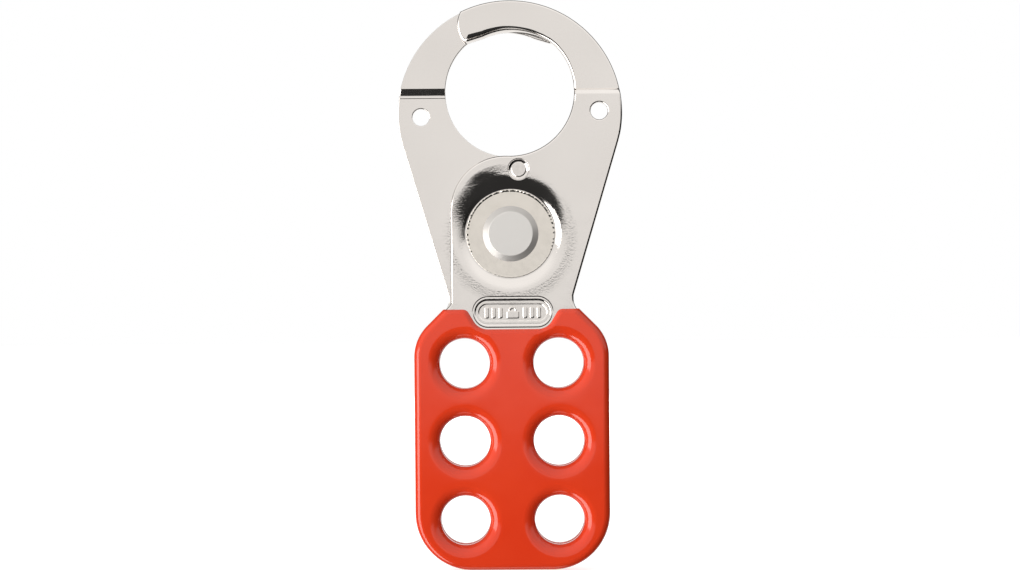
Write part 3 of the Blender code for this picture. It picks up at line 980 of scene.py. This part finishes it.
def pocket_mesh():
    """What the plate takes up inside the coating, run on above its top edge."""
    outline = inset(pocket_outline(), -POCKET_ROOM)
    radius = SHACKLE_PLATE_R - POCKET_ROOM
    bores = [circle((x, z), radius) for z in SHACKLE_Z for x in (-SHACKLE_X, SHACKLE_X)]

    def level(y, side):
        return lambda points: (np.full(len(points), y), np.tile([0.0, side, 0.0], (len(points), 1)))

    front, back = level(-PLATE_OUTER - POCKET_ROOM, -1.0), level(-PLATE_INNER + POCKET_ROOM, 1.0)
    vertices, normals, faces = shell(outline, bores, [], [], front, back)
    return mesh_object("pocket", *drop_loose(vertices, normals, faces))


def hollowed(skin, cutter):
    """The skin's mesh with the cutter taken out of it; the cutter's faces keep material index 1."""
    for polygon in cutter.data.polygons:
        polygon.material_index = 1
    for obj in (skin, cutter):
        for name in ("outside", "inside"):
            obj.data.materials.append(bpy.data.materials.new(name))
    modifier = skin.modifiers.new("pocket", "BOOLEAN")
    modifier.operation, modifier.solver, modifier.object = "DIFFERENCE", "EXACT", cutter
    bpy.context.view_layer.update()
    result = bpy.data.meshes.new_from_object(skin.evaluated_get(bpy.context.evaluated_depsgraph_get()))
    for obj in (skin, cutter):
        bpy.data.objects.remove(obj)
    return result


def make_coating(side, material):
    outline, holes, guides, front, back = coating_faces()
    vertices, normals, faces = shell(outline, holes, guides, (), front, back)
    skin = mesh_object("skin", *drop_loose(vertices, normals, faces))
    mesh = hollowed(skin, pocket_mesh())
    co = np.empty(len(mesh.vertices) * 3)
    mesh.vertices.foreach_get("co", co)
    co = co.reshape(-1, 3) / MM
    outer_normals, inner_normals = front(co[:, [0, 2]])[1], back(co[:, [0, 2]])[1]
    smooth = np.where((co[:, 1] < -2.0)[:, None], outer_normals, inner_normals)
    turn = half_turn(side == "rear")
    loops = []
    for polygon in mesh.polygons:
        for vertex in polygon.vertices:
            normal = smooth[vertex] if polygon.material_index == 0 else np.array(polygon.normal)
            loops.append(tuple(normal * turn))
    mesh.vertices.foreach_set("co", (co * turn * MM).ravel())
    for polygon in mesh.polygons:
        polygon.material_index = 0
    mesh.materials.clear()
    mesh.update()
    mesh.shade_smooth()
    mesh.normals_split_custom_set(loops)
    coating = linked(f"{side}_dip_coating", mesh)
    coating.visible_glossy = False
    stand_for(coating, f"{side}_coating", f"{side}_half", material)


def burred(seed):
    """The washer's torn rim: a push in and out, and a lift, that change round the edge.

    Their waves are full at the top of the washer and a quarter of that at the bottom.
    """
    chance = np.random.default_rng(seed)
    waves = [(n, chance.uniform(0, 2 * np.pi), chance.uniform(0.4, 1)) for n in range(31, 90, 4)]

    def ragged(angles, point):
        near = np.clip((point[0] - (WASHER_R - BURR_START)) / BURR_WIDTH, 0, 1)
        shape = sum(size * np.sin(n * angles + phase) for n, phase, size in waves)
        other = sum(size * np.cos(n * angles - 2 * phase) for n, phase, size in waves)
        shape, other = shape / len(waves) ** 0.5, other / len(waves) ** 0.5
        top = 0.25 + 0.75 * np.clip(np.sin(angles - 0.35) + 0.3, 0, 1)
        lift = (BURR_LIFT * other - BURR_LIFT) * top
        lean = lift / BURR_WIDTH if 0 < near < 1 else 0 * lift
        return (BURR_PUSH * shape * top - BURR_WEAR) * near, lift * near, lean

    return ragged


def make_washer(side, material):
    under = PLATE_OUTER - STEP + AXIAL_GAP
    top = under + WASHER_THICKNESS
    corners = [(RIVET_BORE_R, -under, 0.05), (WASHER_R, -under, 0.05), (WASHER_R, -top, 0.12)]
    corners += [(WASHER_R - inwards, -top, 0.0) for inwards in BURR_ROWS]
    corners += [(RIVET_BORE_R, -top, 0.05)]
    washer = solid_of_turn(
        f"{side}_pivot_washer", corners, (0, PIVOT_Z), side == "rear", sides=720, ragged=burred(4)
    )
    washer.visible_glossy = False
    stand_for(washer, f"{side}_washer", "rear_half", material)


def make_rivet(material):
    seat = PLATE_OUTER - STEP + AXIAL_GAP + WASHER_THICKNESS + AXIAL_GAP
    top = seat + RIVET_HEAD_HEIGHT
    half = [(RIVET_R, -seat, 0.0), (RIVET_HEAD_R, -seat, 0.03), (RIVET_TOP_R, -top, 0.15), (0, -top, 0.0)]
    corners = [(radius, -y, rounding) for radius, y, rounding in half[::-1]] + half
    rivet = solid_of_turn("pivot_rivet_heads", corners, (0, PIVOT_Z))
    rivet.visible_glossy = False
    stand_for(rivet, "pivot_rivet", "rear_half", material)


def make_pin(side, material):
    corners = [
        (0, -PIN_FACE, 0.0),
        (PIN_HEAD_R - 0.3, -PIN_FACE, 0.05),
        (PIN_HEAD_R - 0.14, -PIN_FACE + 0.12, 0.04),
        (PIN_HEAD_R - 0.12, -PIN_SHOULDER - 0.14, 0.03),
        (PIN_BODY_R, -PIN_SHOULDER - 0.37, 0.02),
        (PIN_BODY_R, -PLATE_INNER, 0.05),
        (PIN_TIP_R, -PLATE_INNER, 0.05),
        (PIN_TIP_R, PIN_REACH, 0.2),
        (0, PIN_REACH, 0.0),
    ]
    pin = solid_of_turn(f"{side}_set_pin", corners[::-1], PIN_CENTRE, side == "rear", sides=96)
    pin.visible_glossy = False
    stand_for(pin, f"{side}_stop_pin", f"{side}_half", material)


def make_pieces():
    metal, washer, rivet, pin, red = nickel(), washer_plating(), rivet_finish(), pin_finish(), vinyl()
    for side in ("front", "rear"):
        make_plate(side, metal)
        make_coating(side, red)
        make_washer(side, washer)
        make_pin(side, pin)
    make_rivet(rivet)


# Stage: a white sweep, soft light, and a camera straight in front.


def make_world():
    """White to the camera. In reflections and as fill light, a studio by direction.

    It has a light wall in front above eye level and dark below it, a tall softbox on the left,
    little low on the right, the white sweep behind and bright ground straight below.
    """
    world = bpy.data.worlds.new("studio")
    bpy.context.scene.world = world
    world.use_nodes = True
    tree = world.node_tree
    tree.nodes.clear()
    link = tree.links.new

    def maths(operation, *values):
        node = tree.nodes.new("ShaderNodeMath")
        node.operation = operation
        for i, value in enumerate(values):
            if isinstance(value, (int, float)):
                node.inputs[i].default_value = value
            else:
                link(value, node.inputs[i])
        return node.outputs[0]

    def step(value, start, end, low=0.0, high=1.0):
        """low up to start and high from end, smoothly."""
        node = tree.nodes.new("ShaderNodeMapRange")
        node.interpolation_type = "SMOOTHSTEP"
        names = ("From Min", "From Max", "To Min", "To Max")
        for socket, number in zip(names, (start, end, low, high)):
            node.inputs[socket].default_value = number
        link(value, node.inputs["Value"])
        return node.outputs["Result"]

    def band(value, start, full, until, gone):
        """1 from full to until, and 0 before start and after gone."""
        return maths("MULTIPLY", step(value, start, full), step(value, until, gone, 1.0, 0.0))

    # The direction looked in: a unit vector, and the angle from the camera's side to the left.
    separate = tree.nodes.new("ShaderNodeSeparateXYZ")
    link(tree.nodes.new("ShaderNodeTexCoord").outputs["Generated"], separate.inputs[0])
    x, y, z = separate.outputs
    left = maths("ARCTAN2", maths("MULTIPLY", x, -1.0), maths("MULTIPLY", y, -1.0))

    # The wall: dark below eye level, a little lighter overhead, dark low on the right, dim behind.
    wall = step(z, -0.085, -0.02, 0.03, 0.90)
    wall = maths("ADD", wall, step(z, 0.15, 0.6, 0.0, 0.18))
    shade = maths("MAXIMUM", step(left, -0.95, -0.4, 0.06, 1.0), step(z, 0.04, 0.2))
    wall = maths("MULTIPLY", wall, shade)
    wall = maths("MULTIPLY", wall, step(y, -0.05, 0.2, 1.0, 0.15))

    box = maths("MULTIPLY", band(left, 0.76, 0.84, 1.40, 1.50), band(z, -0.94, -0.84, 0.1, 0.26))
    box = maths("MULTIPLY", box, SOFTBOX_STRENGTH)
    sweep = step(maths("ADD", y, step(z, -0.15, 0.0, 0.4, 0.0)), 0.88, 0.97)  # lower down it is wider
    ground = step(z, -0.985, -0.955, GROUND_STRENGTH, 0.0)
    value = maths("MAXIMUM", maths("MAXIMUM", wall, box), maths("MAXIMUM", sweep, ground))
    studio, white = tree.nodes.new("ShaderNodeBackground"), tree.nodes.new("ShaderNodeBackground")
    studio.inputs["Color"].default_value = (1.0, 0.985, 0.965, 1)
    link(value, studio.inputs["Strength"])
    mix, output = tree.nodes.new("ShaderNodeMixShader"), tree.nodes.new("ShaderNodeOutputWorld")
    white.inputs["Color"].default_value = (1, 1, 1, 1)
    link(tree.nodes.new("ShaderNodeLightPath").outputs["Is Camera Ray"], mix.inputs[0])
    link(studio.outputs[0], mix.inputs[1])
    link(white.outputs[0], mix.inputs[2])
    link(mix.outputs[0], output.inputs[0])


def make_light(name, place, size, power):
    light = bpy.data.lights.new(name, "AREA")
    light.shape, light.size, light.energy = "DISK", size, power
    lamp = linked(name, light)
    lamp.location = place
    lamp.rotation_euler = (Vector(HASP_MIDDLE) - lamp.location).to_track_quat("-Z", "Y").to_euler()
    lamp.visible_glossy = False
    lamp.visible_camera = False


def make_floor():
    """Paper under the hasp, which glows a little so that it looks white.

    It casts no shadow, because softbox_below shines up through it.
    """
    half, z = FLOOR_HALF, cad_box[0].z - FLOOR_GAP
    corners = [(-half, -half, z), (half, -half, z), (half, half, z), (-half, half, z)]
    mesh = bpy.data.meshes.new("studio_ground")
    mesh.from_pydata(corners, [], [(0, 1, 2, 3)])
    floor = linked("studio_ground", mesh)
    paper = bpy.data.materials.new("white_paper")
    paper.use_nodes = True
    shader = paper.node_tree.nodes["Principled BSDF"]
    shader.inputs["Base Color"].default_value = (0.9, 0.9, 0.9, 1)
    shader.inputs["Roughness"].default_value = 1.0
    shader.inputs["Specular IOR Level"].default_value = 0.0
    shader.inputs["Emission Color"].default_value = (1, 1, 1, 1)
    shader.inputs["Emission Strength"].default_value = FLOOR_GLOW
    mesh.materials.append(paper)
    floor.visible_glossy = False
    floor.visible_diffuse = False
    floor.visible_shadow = False


def make_camera():
    """Straight in front of the hasp, which fills the frame's height."""
    camera = bpy.data.cameras.new("camera")
    camera.sensor_width = 36.0
    camera.lens = camera.sensor_width * CAMERA_AWAY / FRAME_WIDTH
    camera.clip_start, camera.clip_end = 0.01, 20
    obj = linked("camera", camera)
    obj.location = (CAMERA_X, -CAMERA_AWAY - PLATE_OUTER * MM, CAMERA_Z)
    obj.rotation_euler = (math.radians(90), CAMERA_ROLL, 0)
    bpy.context.scene.camera = obj


make_pieces()
make_world()
make_light("softbox_above_left", (-0.16, -0.3, 0.16), 0.3, 0.7)
make_light("softbox_below", (-0.12, -0.5, -0.58), 0.5, 1.3)
make_light("softbox_behind", (0.12, 0.7, 0.2), 0.5, 3.0)
make_floor()
make_camera()
bpy.context.scene.view_settings.view_transform = "Standard"
